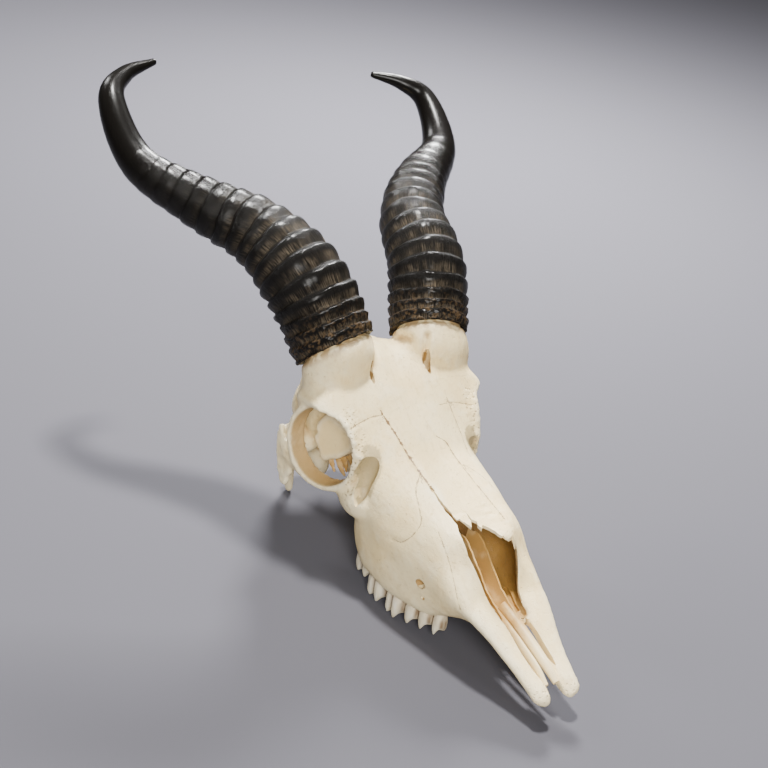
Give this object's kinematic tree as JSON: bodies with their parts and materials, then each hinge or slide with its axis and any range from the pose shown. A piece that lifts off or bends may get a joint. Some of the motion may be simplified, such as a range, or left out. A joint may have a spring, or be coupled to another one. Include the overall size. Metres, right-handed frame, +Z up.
{
  "type": "springbok skull",
  "caption": "Antelope skull with a pair of ringed, inward-hooked black horns, upper cheek teeth in place and the nose bones broken short; no lower jaw.",
  "frame": {"origin": "on the supporting surface, under the middle of the skull and horns seen from above", "axes": "+X to the animal's left, -Y the way the nose points, +Z up"},
  "size_m": [0.1982, 0.3091, 0.1981],
  "materials": {
    "bone": "dry weathered bone, matt to faintly satin, cream with tan stains in the hollows",
    "horn": "black keratin, ringed and finely striated, satin at the foot and polished towards the point",
    "tooth": "ivory enamel with brown stain between the lobes"
  },
  "bodies": {
    "root": {"skull": "bone", "horn_sheath_left": "horn", "horn_sheath_right": "horn", "premolar_2_left": "tooth", "premolar_2_right": "tooth", "premolar_3_left": "tooth", "premolar_3_right": "tooth", "premolar_4_left": "tooth", "premolar_4_right": "tooth", "molar_1_left": "tooth", "molar_1_right": "tooth", "molar_2_left": "tooth", "molar_2_right": "tooth", "molar_3_left": "tooth", "molar_3_right": "tooth"}
  },
  "joints": []
}
